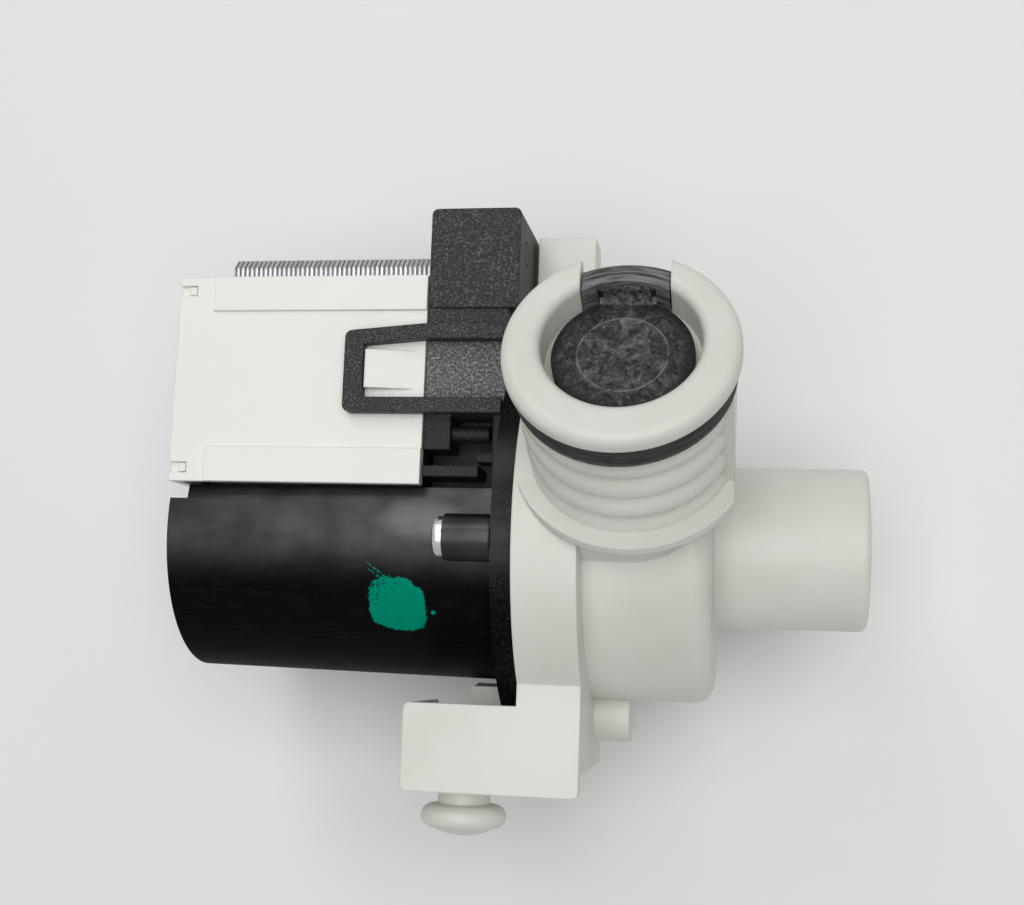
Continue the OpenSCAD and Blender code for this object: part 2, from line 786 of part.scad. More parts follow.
// One side of the frame: plate over the coil ends, latch, and a recess with its ribs and pin
module frame_side() {
    top = cover_half - strip_h;
    latch_low = latch_mid - latch_w / 2;
    edge = cover_low + slip;
    floor_z = cover_half - recess_depth;
    block([block_x, latch_low, top - frame_wall], [flange_rear, block_in + block_wall, top]);
    translate([0, 0, cover_half + slip]) linear_extrude(latch_t) latch_loop();
    for (y = [latch_low, latch_low + latch_w - latch_arm])
        block([block_x + frame_wall, y, top - frame_wall],
            [flange_rear - frame_wall, y + latch_arm, cover_half + slip + latch_t / 2]);
    block([block_x, edge, floor_z - frame_wall], [flange_rear, latch_low + frame_wall, floor_z]);
    block([block_x, latch_low, floor_z - frame_wall], [flange_rear, latch_low + frame_wall, top]);
    block([block_x, edge + recess_rib_in, floor_z - frame_wall],
        [block_x + recess_rib_l, edge + recess_rib_in + frame_wall, top]);
    block([block_x, latch_low - recess_tab_w, floor_z - frame_wall],
        [block_x + recess_tab_l, latch_low, top]);
    translate([0, latch_low - recess_tab_w / 2, top - recess_pin_d])
        bar(block_x, block_x + recess_tab_l + recess_pin_l, recess_pin_d / 2);
    translate([0, latch_low - recess_tab_w - recess_lug_w, floor_z - frame_wall])
        linear_extrude(recess_depth * 0.7) round_outline([flange_rear - recess_lug_l, 0],
            [flange_rear, recess_lug_w], recess_lug_w / 2 - slip);
}

module terminal_frame() {
    low_z = cover_half - block_h;
    color(black) difference() {
        union() {
            translate([0, 0, low_z]) linear_extrude(block_h)
                round_outline([block_x, block_in], [block_end, block_out], block_round);
            frame_side();
            mirror([0, 0, 1]) frame_side();
            block([flange_rear - frame_wall, cover_low + slip, strip_h - cover_half],
                [flange_rear, block_in + block_wall, cover_half - strip_h]);
        }
        translate([0, block_out - socket_depth, low_z + block_wall])
            linear_extrude(block_h - 2 * block_wall)
                round_outline([block_x + block_wall, 0], [block_end - block_wall, 2 * socket_depth],
                    block_round);
        bar(flange_rear - frame_wall - cut, flange_rear + cut, collar_d / 2 + shell_wall + slip);
        terminal_blades();
        translate([0, block_out - mark_in, cover_half - mark_in])
            sleeve(block_end - mark_line, block_end + cut, mark_d / 2, mark_d / 2 - mark_line);
    }
}

// Pair of blades that stand in the socket's floor
module terminal_blades() {
    mid_x = (block_x + block_end) / 2;
    floor_y = block_out - socket_depth;
    mid_z = cover_half - block_h / 2;
    for (side = [-1, 1])
        block([mid_x - blade_w / 2, floor_y - blade_root, mid_z + side * blade_pitch / 2 - blade_t / 2],
            [mid_x + blade_w / 2, floor_y + blade_l, mid_z + side * blade_pitch / 2 + blade_t / 2]);
}

module terminals() {
    color(steel) terminal_blades();
}

// Strips and catch of one face of the cover
module cover_face() {
    catch_x = block_x - latch_reach + latch_bar + slip;
    for (y = [cover_low, cover_high - strip_w])
        block([rear_x + strip_start, y, cover_half - cover_wall],
            [cover_end, y + strip_w, cover_half + strip_h]);
    translate([catch_x, latch_mid + catch_w / 2, cover_half]) rotate([90, 0, 0]) linear_extrude(catch_w)
        polygon([[0, 0], [catch_l, 0], [catch_l / 10, catch_h], [0, catch_h]]);
}

module coil_cover() {
    color(cover_white) difference() {
        union() {
            block([rear_x, cover_low, -cover_half], [cover_end, cover_high, cover_half]);
            cover_face();
            mirror([0, 0, 1]) cover_face();
        }
        block([rear_x + cover_wall, cover_low - cut, cover_wall - cover_half],
            [cover_end + cut, cover_high - cover_wall, cover_half - cover_wall]);
        block([core_x - slip, cover_low, -leg_in - leg_t - slip],
            [cover_end + cut, cover_high + cut, leg_in + leg_t + slip]);
        bar(rear_x - cut, cover_end, well_out + slip);
        corner_slots(rear_x - cut, rear_x + window_l, 0, cover_half - cover_wall / 2, cover_half + cut);
    }
    color(cover_white) corner_slots(rear_x + window_l - window_pin - slip, rear_x + window_l - slip, slip,
        cover_half - cover_wall, cover_half - slip);
}

// Boxes at the four rear corners of the cover's faces, narrower than the slots by inset on each side
module corner_slots(x, end, inset, low, high) {
    for (y = [cover_low + window_in, cover_high - window_in - window_w], side = [0, 1])
        mirror([0, 0, side])
            block([x, y + inset, low], [end, y + window_w - inset, high]);
}

// Outline of one lamination, with the motor axis at the origin
module lamination() {
    outer = leg_in + leg_t;
    difference() {
        union() {
            circle(pole_od / 2);
            polygon([[0, -outer], [core_reach - yoke_bevel, -outer], [core_reach, yoke_bevel - outer],
                [core_reach, outer - yoke_bevel], [core_reach - yoke_bevel, outer], [0, outer]]);
        }
        circle(pole_bore / 2);
        translate([0, -leg_in]) square([core_reach - yoke_w, 2 * leg_in]);
        translate([-pole_od, -pole_gap / 2]) square([pole_od, pole_gap]);
    }
}

module stator_core() {
    color(steel) translate([core_x, 0, 0]) rotate([90, 0, 90]) linear_extrude(core_end - core_x) lamination();
}

// Box round the upper leg, larger than the leg by grow in X and Z
module leg_box(y_low, y_high, grow) {
    block([core_x - grow, y_low, leg_in - grow], [core_end + grow, y_high, leg_in + leg_t + grow]);
}

// Coil former on the upper leg
module bobbin() {
    lip = slip + bobbin_wall + winding_t + bobbin_lip;
    difference() {
        union() {
            leg_box(coil_in, coil_out, slip + bobbin_wall);
            leg_box(coil_in, coil_in + bobbin_wall, lip);
            leg_box(coil_out - bobbin_wall, coil_out, lip);
        }
        leg_box(coil_in - cut, coil_out + cut, slip);
    }
}

// Winding on the upper leg
module winding() {
    difference() {
        leg_box(coil_in + bobbin_wall, coil_out - bobbin_wall, slip + bobbin_wall + winding_t);
        leg_box(coil_in, coil_out, slip + bobbin_wall);
    }
}

module bobbin_upper() {
    color(cover_white) bobbin();
}

module bobbin_lower() {
    color(cover_white) mirror([0, 0, 1]) bobbin();
}

module winding_upper() {
    color(copper) winding();
}

module winding_lower() {
    color(copper) mirror([0, 0, 1]) winding();
}

module rotor_magnet() {
    color(ferrite) sleeve(magnet_x, magnet_end, magnet_d / 2, hub_d / 2);
}

module rotor_hub() {
    color(cover_white) sleeve(magnet_x, magnet_end, hub_d / 2, shaft_d / 2);
}

module rotor_shaft() {
    color(steel) bar(rear_bush_x + end_play, shaft_end, shaft_d / 2);
}

module drive_dog() {
    color(ferrite) {
        sleeve(dog_x, dog_x + dog_l, dog_ring_d / 2, shaft_d / 2);
        ring_sector(dog_x, dog_x + dog_l, dog_room_r - dog_gap, shaft_d / 2, lug_angle, 0);
    }
}

module shaft_clip() {
    color(steel) sleeve(clip_x, clip_x + clip_t, dog_room_r - dog_gap, shaft_d / 2);
}

// Straight blade from the hub to the rim, with a sloping front edge and room for the cap
module vane() {
    low = dog_room_r + eye_wall / 2;
    cap_low = eye_d / 2 + slip;
    translate([vane_x, 0, -vane_t / 2]) linear_extrude(vane_t)
        polygon([[-plate_t / 2, low], [-plate_t / 2, impeller_d / 2], [vane_l - vane_slope, impeller_d / 2],
            [vane_l, cap_low], [cap_x - vane_x, cap_low], [cap_x - vane_x, low]]);
}

module impeller() {
    color(white) {
        difference() {
            union() {
                bar(eye_x, vane_x, impeller_d / 2);
                bar(eye_x, cap_x, eye_d / 2);
                for (i = [0:vane_count - 1])
                    rotate([i * 360 / vane_count, 0, 0]) vane();
            }
            bar(eye_x - cut, cap_x + cut, shaft_d / 2 + run_gap);
            bar(dog_room_x, cap_x + cut, dog_room_r);
        }
        ring_sector(dog_room_x - cut, clip_x - dog_gap, dog_room_r + eye_wall / 2, dog_ring_d / 2 + dog_gap,
            lug_angle, 180);
    }
}

module impeller_cap() {
    color(white) along_x(cap_x) rotate_extrude() round_top_section(eye_d / 2, cap_t, cap_t / 2);
}

module bearing_carrier() {
    color(ferrite) difference() {
        union() {
            bar(carrier_x, joint_x, well_r - slip);
            bar(collar_x, joint_x, collar_d / 2 - slip);
        }
        bar(carrier_x - cut, joint_x + cut, shaft_d / 2 + slip);
        bar(carrier_x - cut, front_bush_x + bush_l, bush_d / 2);
        bar(lip_seal_x, joint_x + cut, lip_seal_d / 2);
    }
}

module front_bush() {
    color(bronze) sleeve(front_bush_x, front_bush_x + bush_l, bush_d / 2, shaft_d / 2 + run_gap);
}

module rear_bush() {
    color(bronze) sleeve(rear_bush_x, rear_bush_x + bush_l, bush_d / 2, shaft_d / 2 + run_gap);
}

module rear_bush_mount() {
    color(rubber) difference() {
        bar(cup_x, rear_bush_x + bush_l, cup_d / 2);
        bar(rear_bush_x, rear_bush_x + bush_l + cut, bush_d / 2);
    }
}

module front_thrust_washer() {
    color(steel) sleeve(front_washer_x, front_washer_x + washer_t, washer_d / 2, shaft_d / 2 + run_gap);
}

module rear_thrust_washer() {
    color(steel) sleeve(rear_washer_x, rear_washer_x + washer_t, washer_d / 2, shaft_d / 2 + run_gap);
}

module shaft_seal() {
    color(rubber) sleeve(lip_seal_x, lip_seal_x + lip_seal_l, lip_seal_d / 2, shaft_d / 2 + run_gap);
}

module chamber_seal() {
    color(rubber) sleeve(joint_x - seal_depth, joint_x, (seal_d + seal_w) / 2, (seal_d - seal_w) / 2);
}

module flange_screw() {
    head_x = flange_rear - boss_l;
    top_x = head_x - screw_head_h;
    color(steel) at_screw() difference() {
        union() {
            bar(head_x, head_x + screw_l, screw_d / 2);
            mirror([1, 0, 0]) along_x(-head_x) rotate_extrude()
                round_top_section(screw_head_d / 2, screw_head_h, screw_head_h / 2);
        }
        for (turn = [0, 90])
            rotate([turn, 0, 0])
                block([top_x - cut, -drive_l / 2, -drive_w / 2],
                    [top_x + drive_depth, drive_l / 2, drive_w / 2]);
    }
}

module mount_foot() {
    edge = foot_edge / 2;
    dome_r = foot_head_d / 2 - edge;
    ball = (dome_r * dome_r + foot_dome * foot_dome) / (2 * foot_dome);
    color(white) translate([foot_x, -bracket_out, foot_z]) rotate([90, 0, 0]) {
        translate([0, 0, -foot_neck_d / 2]) cylinder(h = foot_neck_d / 2 + cut, r = foot_stem_d / 2);
        cylinder(h = foot_neck_l + edge, r = foot_neck_d / 2);
        translate([0, 0, foot_neck_l]) {
            rotate_extrude() {
                square([dome_r, foot_edge]);
                translate([dome_r, edge]) circle(edge);
            }
            intersection() {
                translate([0, 0, foot_edge + foot_dome - ball]) sphere(ball);
                cylinder(h = 2 * foot_edge, r = dome_r);
            }
        }
    }
}

volute_housing();
outlet_seal();
valve_flap();
motor_housing();
terminal_frame();
terminals();
coil_cover();
stator_core();
bobbin_upper();
bobbin_lower();
winding_upper();
winding_lower();
rotor_magnet();
rotor_hub();
rotor_shaft();
drive_dog();
shaft_clip();
impeller();
impeller_cap();
bearing_carrier();
front_bush();
rear_bush();
rear_bush_mount();
front_thrust_washer();
rear_thrust_washer();
shaft_seal();
chamber_seal();
flange_screw();
mount_foot();
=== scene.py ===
# %% [markdown]
# A washing machine's drain pump, dressed for a picture.
# The solid shapes arrive finished: every casing, screw, seal and bearing is already a mesh in its place.
# What is left for Blender is how they look, so this lesson makes one finish for each material of the pump
# and adds the few surfaces that are too fine for the solids, such as sheet edges and turns of wire.

# %% Load the solids
import math

import bpy
import numpy as np
from mathutils import Matrix, Vector


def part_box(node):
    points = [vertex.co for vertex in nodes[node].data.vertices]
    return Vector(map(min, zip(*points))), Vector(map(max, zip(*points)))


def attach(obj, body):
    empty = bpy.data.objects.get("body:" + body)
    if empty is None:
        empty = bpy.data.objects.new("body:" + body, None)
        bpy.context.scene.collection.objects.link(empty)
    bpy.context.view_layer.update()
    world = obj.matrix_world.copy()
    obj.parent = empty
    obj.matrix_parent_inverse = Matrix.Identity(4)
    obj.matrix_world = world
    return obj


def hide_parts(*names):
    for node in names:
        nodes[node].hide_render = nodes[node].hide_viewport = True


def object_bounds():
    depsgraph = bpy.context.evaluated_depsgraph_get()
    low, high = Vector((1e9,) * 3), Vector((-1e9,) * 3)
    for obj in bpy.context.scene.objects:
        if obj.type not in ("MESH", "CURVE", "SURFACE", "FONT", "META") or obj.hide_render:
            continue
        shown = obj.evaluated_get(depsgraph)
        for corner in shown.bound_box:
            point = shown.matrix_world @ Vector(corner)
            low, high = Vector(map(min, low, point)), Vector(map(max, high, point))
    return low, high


MM = 0.001
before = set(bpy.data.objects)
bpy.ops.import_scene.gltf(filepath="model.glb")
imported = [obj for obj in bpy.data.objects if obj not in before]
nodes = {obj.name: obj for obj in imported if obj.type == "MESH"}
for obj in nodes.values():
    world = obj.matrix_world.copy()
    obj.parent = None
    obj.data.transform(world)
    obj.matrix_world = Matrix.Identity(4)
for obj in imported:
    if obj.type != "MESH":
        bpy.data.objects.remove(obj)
solid_low, solid_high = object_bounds()


def size_in_mm(low, high):
    return [round((b - a) / MM, 1) for a, b in zip(low, high)]


print("solids:", len(nodes), "size in mm:", size_in_mm(solid_low, solid_high))

# %% [markdown]
# The camera stands almost straight above the pump, a little towards the inlet and the foot.
# A camera could be aimed at a point with a constraint, but the picture also has a slight roll,
# so its three axes are written down as the columns of a matrix, next to its place.

# %% Camera
CAMERA_PLACE = (0.00905, -0.02180, 0.28437)
CAMERA_RIGHT = (0.98510, 0.03546, -0.16827)
CAMERA_UP = (-0.01152, 0.98992, 0.14115)
CAMERA_BACK = (0.17158, -0.13711, 0.97558)
camera_data = bpy.data.cameras.new("camera")
camera_data.sensor_fit = "HORIZONTAL"
camera_data.sensor_width = 36
camera_data.lens = 50.98
camera_data.clip_start = 0.01
camera = bpy.data.objects.new("camera", camera_data)
bpy.context.scene.collection.objects.link(camera)
camera_axes = Matrix((CAMERA_RIGHT, CAMERA_UP, CAMERA_BACK)).transposed().to_4x4()
camera.matrix_world = Matrix.Translation(CAMERA_PLACE) @ camera_axes
bpy.context.scene.camera = camera
print("camera height over the motor axis in mm:", round(CAMERA_PLACE[2] / MM, 1))

# %% [markdown]
# The pump lies on a pale table under a bright ceiling.
# A wide panel above it gives most of the light. A smaller lamp stands lower, behind the pump,
# where the crown of the black shell mirrors it as a streak.
# A point of light would be simpler, but lamps that are large for their distance give soft shadow edges.

# %% Lamps
PUMP_MIDDLE = (-0.03, 0.0, 0.0)


def lamp(name, place, side, power):
    """A square lamp at place, facing the middle of the pump, in metres and watts."""
    data = bpy.data.lights.new(name, "AREA")
    data.size = side
    data.energy = power
    made = bpy.data.objects.new(name, data)
    bpy.context.scene.collection.objects.link(made)
    made.location = place
    made.rotation_mode = "QUATERNION"
    made.rotation_quaternion = (Vector(place) - Vector(PUMP_MIDDLE)).to_track_quat("Z", "Y")
    print("lamp:", name, "side in m:", side, "power in W:", power)


lamp("ceiling_panel", (0.10, 0.0, 1.5), side=1.4, power=16.7)
lamp("streak_lamp", (-0.28, 0.62, 0.62), side=0.35, power=1.2)

# %% [markdown]
# Light and surfaces in Blender are boards of nodes joined by wires. Wiring each sum by hand is slow to read,
# so a small class stands for one wire: adding or multiplying two of them places the Math node that does it.
# A second class holds the board. Its one method places any other node, settings first and wires after.

# %% A wire that does arithmetic
class Wire:
    """One output of a node. Python's operators on it place Math nodes on its board."""

    def __init__(self, board, socket):
        self.board = board
        self.socket = socket

    def math(self, operation, *values):
        return self.board.node("ShaderNodeMath", {"operation": operation}, dict(enumerate(values)))

    def __add__(self, other):
        return self.math("ADD", self, other)

    def __sub__(self, other):
        return self.math("SUBTRACT", self, other)

    def __rsub__(self, other):
        return self.math("SUBTRACT", other, self)

    def __mul__(self, other):
        return self.math("MULTIPLY", self, other)

    def __truediv__(self, other):
        return self.math("DIVIDE", self, other)

    def __rtruediv__(self, other):
        return self.math("DIVIDE", other, self)

    def __pow__(self, other):
        return self.math("POWER", self, other)

    def __abs__(self):
        return self.math("ABSOLUTE", self)

    __radd__ = __add__
    __rmul__ = __mul__

    def sine(self):
        return self.math("SINE", self)

    def angle(self, other):
        """The angle, in radians, of the point whose first coordinate is other and whose second is self."""
        return self.math("ARCTAN2", self, other)

    def larger(self, other):
        return self.math("MAXIMUM", self, other)

    def ramp(self, low, high):
        """0 below low, 1 above high, and a smooth rise between them."""
        return self.board.node("ShaderNodeMapRange", {"interpolation_type": "SMOOTHSTEP"},
                               {"Value": self, "From Min": low, "From Max": high})


print("wires add, subtract, multiply, divide and ramp")

# %% A board of nodes
class Board:
    """A tree of nodes, with one method that places any of them."""

    def __init__(self, tree):
        self.tree = tree

    def node(self, kind, settings=None, inputs=None, out=0):
        """Places a node of that kind, applies its settings, fills its sockets and returns one output."""
        made = self.tree.nodes.new(kind)
        for name, value in (settings or {}).items():
            setattr(made, name, value)
        for name, value in (inputs or {}).items():
            if isinstance(value, Wire):
                self.tree.links.new(value.socket, made.inputs[name])
            else:
                made.inputs[name].default_value = value
        return Wire(self, made.outputs[out])


print("boards place nodes")

# %% [markdown]
# The world gives the even light of the room. It is dim, because a bright one would turn black plastic grey.
# Seen directly or in a mirror-like metal, a dim room would itself be grey, so those rays meet a pale wall.
# The Light Path node tells which kind of ray is asking, and a Mix Shader sends it to one of two backgrounds.

# %% Room light
WALL_TONE = (0.70, 0.70, 0.695, 1)
room = bpy.data.worlds.new("room")
bpy.context.scene.world = room
room.use_nodes = True
room_light = room.node_tree.nodes["Background"]
room_light.inputs["Color"].default_value = (0.98, 0.99, 1.0, 1)
room_light.inputs["Strength"].default_value = 0.26
room_board = Board(room.node_tree)
wall = room_board.node("ShaderNodeBackground", None, {"Color": WALL_TONE})
seen = room_board.node("ShaderNodeLightPath", out="Is Camera Ray")
for ray in ("Is Glossy Ray", "Is Transmission Ray"):
    seen = seen.larger(room_board.node("ShaderNodeLightPath", out=ray))
dim = Wire(room_board, room_light.outputs[0])
either = room_board.node("ShaderNodeMixShader", None, {0: seen, 1: dim, 2: wall})
room.node_tree.links.new(either.socket, room.node_tree.nodes["World Output"].inputs["Surface"])
bpy.context.scene.view_settings.view_transform = "Standard"
print("room light nodes:", len(room.node_tree.nodes))

# %% [markdown]
# A finish is a material, and its shader stands for the surface. What is the same everywhere is a number
# on the shader's own socket, and what changes from place to place arrives by wire.
# Every pattern starts from the place on the pump, in millimetres, so a grain has its real size everywhere.

# %% A finish
class Finish(Board):
    """A material whose shader takes fixed numbers on its own sockets, and wires for what changes."""

    def __init__(self, name, **fixed):
        self.material = bpy.data.materials.new(name)
        self.material.use_nodes = True
        super().__init__(self.material.node_tree)
        self.shader = self.tree.nodes["Principled BSDF"]
        for socket, value in fixed.items():
            self.shader.inputs[socket.replace("_", " ")].default_value = value
        self.place = self.node("ShaderNodeVectorMath", {"operation": "SCALE"},
                               {0: self.node("ShaderNodeTexCoord", out="Object"), "Scale": 1 / MM})

    def axes(self):
        """The place in millimetres as three wires."""
        return [self.node("ShaderNodeSeparateXYZ", None, {0: self.place}, out) for out in range(3)]

    def noise(self, scale, detail=2.0, roughness=0.5, place=None, distortion=0.0):
        """Soft random field from 0 to 1, with scale cells to a millimetre."""
        return self.node("ShaderNodeTexNoise", None,
                         {"Vector": place or self.place, "Scale": scale, "Detail": detail,
                          "Roughness": roughness, "Distortion": distortion})

    def stretched(self, factors):
        """The place with each axis multiplied, which draws a pattern out along the small ones."""
        return self.node("ShaderNodeVectorMath", {"operation": "MULTIPLY"}, {0: self.place, 1: factors})

    def tint(self, share, first, second):
        """A colour that goes from first to second as share goes from 0 to 1."""
        return self.node("ShaderNodeMix", {"data_type": "RGBA"}, {"Factor": share, 6: first, 7: second}, 2)

    def done(self, colour, roughness, height=None, depth=0.0, edge=0.3, coat=None):
        """Wires what varies. Height is in units of depth, and depth and the edge's rounding are in mm."""
        normal = self.node("ShaderNodeBevel", {"samples": 4}, {"Radius": edge * MM})
        if height is not None:
            normal = self.node("ShaderNodeBump", None, {"Height": height, "Distance": depth * MM,
                                                        "Strength": 1.0, "Normal": normal})
        varying = {"Base Color": colour, "Roughness": roughness, "Normal": normal, "Coat Weight": coat}
        for name, wire in varying.items():
            if wire is not None:
                self.tree.links.new(wire.socket, self.shader.inputs[name])
        print("finish:", self.material.name, "nodes:", len(self.tree.nodes))
        return self.material


print("finishes ready to be made")

# %% [markdown]
# The casing is moulded in unfilled plastic, a warm white that lets a little light in, so its edges glow.
# A flat colour would look like paint. Slow clouds of tone, a few dark specks and a very fine grain
# give it the look of a part that has been handled.

# %% Casing plastic
def casing_plastic():
    skin = Finish("casing_plastic", IOR=1.49, Subsurface_Weight=0.12, Subsurface_Radius=(1.0, 0.9, 0.7),
                  Subsurface_Scale=1.2 * MM)
    clouds = skin.noise(0.045, 3.0).ramp(0.3, 0.7)
    specks = skin.noise(1.1, 2.0).ramp(0.76, 0.82)
    colour = skin.tint(clouds, (0.640, 0.640, 0.580, 1), (0.700, 0.700, 0.650, 1))
    colour = skin.tint(specks * 0.25, colour, (0.30, 0.28, 0.24, 1))
    roughness = 0.36 + skin.noise(0.25, 3.0) * 0.14
    return skin.done(colour, roughness, skin.noise(3.2, 2.0), depth=0.012, edge=0.45)


casing = casing_plastic()

# %% [markdown]
# The coil cover is a second, cooler white with a smoother skin. Hands have left faint glossy smears on it.
# They could be painted on, but a noise field drawn out along one direction gives them everywhere,
# and it changes only the roughness, because a smear has no colour of its own.

# %% Cover plastic
def cover_plastic():
    skin = Finish("cover_plastic", IOR=1.5, Subsurface_Weight=0.06, Subsurface_Radius=(1.0, 1.0, 0.8),
                  Subsurface_Scale=0.8 * MM)
    smears = skin.noise(0.16, 4.0, 0.6, skin.stretched((0.5, 1.0, 1.0))).ramp(0.48, 0.72)
    colour = skin.tint(skin.noise(0.06, 2.0), (0.770, 0.785, 0.735, 1), (0.825, 0.835, 0.790, 1))
    return skin.done(colour, 0.46 - smears * 0.16, skin.noise(2.4, 2.0), depth=0.01, edge=0.3)


cover = cover_plastic()

# %% [markdown]
# A dab of green paint, an inspection mark, sits on the black motor shell.
# It could be a picture wrapped round the shell, but a formula needs no picture and stays sharp.
# The shell is unrolled into two lengths, along its axis and round it, and the dab is a squarish blob on them
# with three corners cut off, a drop beside it and a tail of two thin strokes.
# Noise frays the edge, and more noise lets the black through where the brush was nearly dry.

# %% Paint dab
SHELL_RADIUS = 26.6
DAB_X, DAB_ROUND = -57.4, -14.5
DAB_HALF_LENGTH, DAB_HALF_WIDTH, DAB_SQUARENESS = 5.5, 5.8, 3.4
# Each cut is a straight line: shares of the two lengths, and how far their sum may reach
DAB_CUTS = [(-1.0, 1.0, 9.3), (0.8, 1.0, 7.4), (-0.45, -1.0, 6.1)]
DROP_ALONG, DROP_ACROSS = 6.7, -1.2
TAIL_ALONG, TAIL_HALF_LENGTH = -3.6, 2.8
TAIL_SLOPE, TAIL_OFFSET = 0.75, 3.75
STROKE_OFFSET, STROKE_HALF_WIDTH = 0.5, 0.3


def paint_dab(skin, along, across):
    """1 where paint lies, from the lengths along the shell and round it, both from the middle of the dab."""
    fray = skin.noise(1.1, 4.0, 0.65) - 0.5
    length, width = abs(along) / DAB_HALF_LENGTH, abs(across) / DAB_HALF_WIDTH
    blob = (length ** DAB_SQUARENESS + width ** DAB_SQUARENESS) ** (1 / DAB_SQUARENESS)
    for along_share, across_share, reach in DAB_CUTS:
        blob = blob.larger((along * along_share + across * across_share) / reach)
    paint = 1 - (blob + fray * 0.3).ramp(0.93, 1.0)
    drop = (along - DROP_ALONG) ** 2 + (across - DROP_ACROSS) ** 2
    paint = paint.larger(1 - drop.ramp(0.12, 0.3))
    stroke = abs(abs(across + along * TAIL_SLOPE - TAIL_OFFSET) - STROKE_OFFSET) / STROKE_HALF_WIDTH
    tail = stroke + abs(along - TAIL_ALONG) / TAIL_HALF_LENGTH + fray * 2.4
    paint = paint.larger((1 - tail.ramp(0.8, 1.1)) * skin.noise(2.4, 2.0).ramp(0.42, 0.5))
    dry = (skin.noise(2.0, 4.0, 0.75) + along * 0.016 - across * 0.012).ramp(0.29, 0.35)
    return paint * dry


print("dab size in mm:", round(2 * DAB_HALF_LENGTH, 1), "by", round(2 * DAB_HALF_WIDTH, 1))

# %% [markdown]
# The motor shell is black plastic with a satin skin. Fine rubbing marks run along it where it slid in its
# packing, and handling has burnished its crown, which mirrors the lamp while the sides stay black.
# A lower roughness would sharpen every reflection. A clear coat of changing weight leaves the black as it is
# and adds the polish only on the crown, less on the paint and on the flange.

# %% Shell plastic
FLANGE_REAR, PAINT_END = -38.4, -47.5
END_WALL_RADIUS, OUTSIDE_RADIUS = 24.5, 25.3
CROWN_FROM, CROWN_FULL, CROWN_FADES, CROWN_END = -12.0, 1.0, 8.0, 15.0
HANDLED_X, HANDLED_ROUND, HANDLED_LENGTH, HANDLED_WIDTH = -53.0, 2.0, 9.0, 5.0


def shell_plastic():
    skin = Finish("shell_plastic", IOR=1.46, Specular_IOR_Level=0.02, Coat_Roughness=0.34, Coat_IOR=1.85)
    x, y, z = skin.axes()
    round_the_shell = y.angle(z) * SHELL_RADIUS
    outside = (y * y + z * z).ramp(END_WALL_RADIUS ** 2, OUTSIDE_RADIUS ** 2)
    flange = x.ramp(FLANGE_REAR, FLANGE_REAR + 0.4)
    paint = paint_dab(skin, x - DAB_X, round_the_shell - DAB_ROUND)
    paint = paint * z.ramp(0.0, 1.0) * (1 - x.ramp(PAINT_END, PAINT_END + 0.5)) * outside
    rubbed = skin.noise(1.1, 4.0, 0.7, skin.stretched((0.16, 1.0, 1.0)))
    clouds = skin.noise(0.11, 3.0).ramp(0.3, 0.7)
    dust = skin.noise(2.6, 2.0).ramp(0.56, 0.74) * (0.015 + flange * 0.12)
    green = skin.tint(skin.noise(0.5, 4.0, 0.7), (0.0, 0.200, 0.120, 1), (0.0, 0.290, 0.185, 1))
    colour = skin.tint(rubbed.ramp(0.45, 0.75), (0.0030, 0.0030, 0.0034, 1), (0.0070, 0.0070, 0.0075, 1))
    colour = skin.tint(dust, colour, (0.20, 0.20, 0.20, 1))
    colour = skin.tint(paint, colour, green)
    crown = round_the_shell.ramp(CROWN_FROM, CROWN_FULL)
    crown = crown * (1 - round_the_shell.ramp(CROWN_FADES, CROWN_END) * 0.6)
    handled_along = (x - HANDLED_X) / HANDLED_LENGTH
    handled_round = (round_the_shell - HANDLED_ROUND) / HANDLED_WIDTH
    handled = 1 - (handled_along ** 2 + handled_round ** 2).ramp(0.0, 1.0)
    polish = 0.20 + rubbed * 0.20 + clouds * 0.24 + handled * 0.34
    burnished = crown * outside * polish * (1 - paint * 0.8) * (1 - flange * 0.6)
    height = skin.noise(4.0, 2.0) * 0.6 + rubbed * 0.2 + paint * 1.6
    return skin.done(colour, 0.5 + paint * 0.2, height, depth=0.03, edge=0.35, coat=burnished)


shell = shell_plastic()

# %% [markdown]
# The connector frame is filled with short glass fibres. They lie at the surface as pale specks, thicker
# in some patches than in others. The recess is painted darker, with fewer specks, as painted shade.
# The recessed plates under the latch arms were left with a coarse spark-eroded skin that is a little paler.
# Its glitter is painted into the colour as pale glints. One fine noise makes the specks and another the
# painted glints. Both also lift the surface, so that colour and sparkle belong together.

# %% Glass-filled plastic
PLATE_HEIGHT, PLATE_MIDDLE, PLATE_HALF = 26.4, 29.6, 5.6
PAINTED_SHADE_BELOW = 20.4


def filled_plastic():
    skin = Finish("filled_plastic", IOR=1.46, Specular_IOR_Level=0.24)
    _, y, z = skin.axes()
    grains = skin.noise(2.8, 3.0, 0.7)
    painted_glints = skin.noise(2.2, 3.0, 0.75).ramp(0.44, 0.66)
    patches = skin.noise(0.14, 3.0).ramp(0.35, 0.65)
    # Painted shade: below this edge, in the recess, the colour is darker and the specks are fewer.
    wear_and_painted_light = y.ramp(PAINTED_SHADE_BELOW, PAINTED_SHADE_BELOW + 0.8)
    plate = 1 - abs(abs(z) - PLATE_HEIGHT).ramp(0.1, 0.3)
    plate = plate * (1 - abs(y - PLATE_MIDDLE).ramp(PLATE_HALF - 0.2, PLATE_HALF))
    specks = grains.ramp(0.50, 0.66) * (0.26 + patches * 0.14) * (0.3 + wear_and_painted_light * 0.7)
    # Painted glints: pale spots on the plates stand in for the sparkle of light on the spark-eroded skin.
    share = specks + wear_and_painted_light * 0.02 + plate * (0.10 + painted_glints * 0.9)
    colour = skin.tint(share, (0.0085, 0.0087, 0.0092, 1), (0.340, 0.345, 0.355, 1))
    return skin.done(colour, 0.40 + grains * 0.2, grains * 0.6 + plate * painted_glints, depth=0.06, edge=0.45)


filled = filled_plastic()

